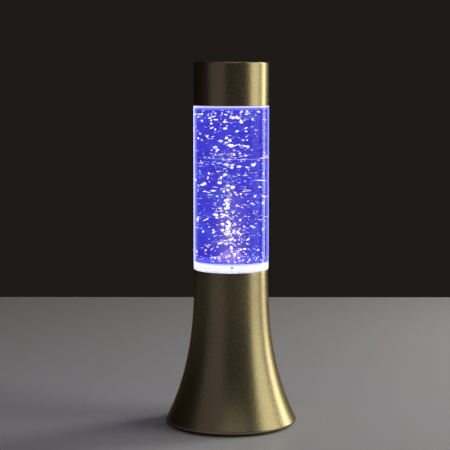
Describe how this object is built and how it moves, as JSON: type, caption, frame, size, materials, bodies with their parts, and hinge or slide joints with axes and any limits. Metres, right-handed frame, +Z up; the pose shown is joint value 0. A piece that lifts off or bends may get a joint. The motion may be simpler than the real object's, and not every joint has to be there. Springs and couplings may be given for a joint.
{
  "type": "glitter motion lamp",
  "caption": "Table lamp with a flared satin champagne base, a clear tube of blue lit glitter liquid with a magnetic stirrer, and a plain cap.",
  "frame": {"origin": "centre of the lamp on the plane it stands on, the underside of its feet", "axes": "+Z up along the tube; -Y is the side the picture shows"},
  "size_m": [0.07, 0.07, 0.194],
  "materials": {
    "champagne_paint": "moulded plastic in a satin champagne-silver metallic paint with very fine flake",
    "black_plastic": "fine-textured moulded plastic",
    "white_plastic": "plain moulded plastic",
    "rubber": "soft anti-slip rubber",
    "screw_steel": "zinc-plated steel",
    "motor_steel": "drawn steel",
    "nickel": "nickel-plated spring steel",
    "brass": "stamped brass",
    "copper": "lacquered copper winding on a steel core",
    "ferrite": "sintered ferrite",
    "magnet": "nickel-plated magnet",
    "cell_jacket": "plain printed foil jacket with a bare metal nub",
    "board_green": "solder-masked circuit board",
    "led_lens": "clear epoxy lens, lit",
    "resistor_tan": "lacquered film resistor",
    "clear_acrylic": "polished clear acrylic",
    "blue_liquid": "blue-lit clear liquid full of small white glitter flakes",
    "clear_stirrer": "translucent moulded plastic",
    "red_lead": "soft insulated wire",
    "black_lead": "soft insulated wire"
  },
  "bodies": {
    "lamp": {"base_shell": "champagne_paint", "bottom_cover": "black_plastic", "foot_1": "rubber", "foot_2": "rubber", "foot_3": "rubber", "foot_4": "rubber", "cover_screw_1": "screw_steel", "cover_screw_2": "screw_steel", "cover_screw_3": "screw_steel", "cover_screw_4": "screw_steel", "battery_cell_1": "cell_jacket", "battery_cell_2": "cell_jacket", "battery_cell_3": "cell_jacket", "contact_spring_1": "nickel", "contact_spring_2": "nickel", "contact_spring_3": "nickel", "contact_positive": "nickel", "contact_negative": "nickel", "contact_bridge_front": "nickel", "contact_bridge_rear": "nickel", "switch_housing": "black_plastic", "motor_carrier": "white_plastic", "carrier_screw_1": "screw_steel", "carrier_screw_2": "screw_steel", "board_screw_1": "screw_steel", "board_screw_2": "screw_steel", "motor_can": "motor_steel", "motor_end_cap": "white_plastic", "motor_terminal_1": "brass", "motor_terminal_2": "brass", "field_magnet_1": "ferrite", "field_magnet_2": "ferrite", "led_board": "board_green", "led_1": "led_lens", "led_2": "led_lens", "led_3": "led_lens", "led_4": "led_lens", "led_resistor": "resistor_tan", "vessel_floor": "clear_acrylic", "vessel_tube": "clear_acrylic", "vessel_lid": "clear_acrylic", "fill_plug": "white_plastic", "glitter_liquid": "blue_liquid", "stirrer_pin": "motor_steel", "top_cap": "champagne_paint", "lead_battery_switch": "red_lead", "lead_switch_board": "red_lead", "lead_battery_board": "black_lead", "lead_motor_red": "red_lead", "lead_motor_black": "black_lead"},
    "door": {"battery_door": "black_plastic"},
    "slider": {"switch_slider": "white_plastic"},
    "rotor": {"motor_shaft": "motor_steel", "motor_armature": "copper", "drive_hub": "white_plastic", "drive_magnet_1": "magnet", "drive_magnet_2": "magnet"},
    "stirrer_set": {"stirrer": "clear_stirrer", "stirrer_magnet_1": "magnet", "stirrer_magnet_2": "magnet"}
  },
  "joints": [
    {"name": "switch_slide", "type": "slide", "parent": "lamp", "child": "slider", "axis": [0, 1, 0], "range_m": [0, 0.003]},
    {"name": "door_hinge", "type": "hinge", "parent": "lamp", "child": "door", "pos_m": [0, -0.0246, 0.0018], "axis": [-1, 0, 0], "range_deg": [0, 75]},
    {"name": "motor_spin", "type": "hinge", "parent": "lamp", "child": "rotor", "pos_m": [0, 0, 0.07115], "axis": [0, 0, 1], "continuous": true},
    {"name": "stirrer_spin", "type": "hinge", "parent": "lamp", "child": "stirrer_set", "pos_m": [0, 0, 0.08875], "axis": [0, 0, 1], "continuous": true}
  ],
  "couplings": [
    {"joint": "stirrer_spin", "follows": "motor_spin", "ratio": 1}
  ]
}
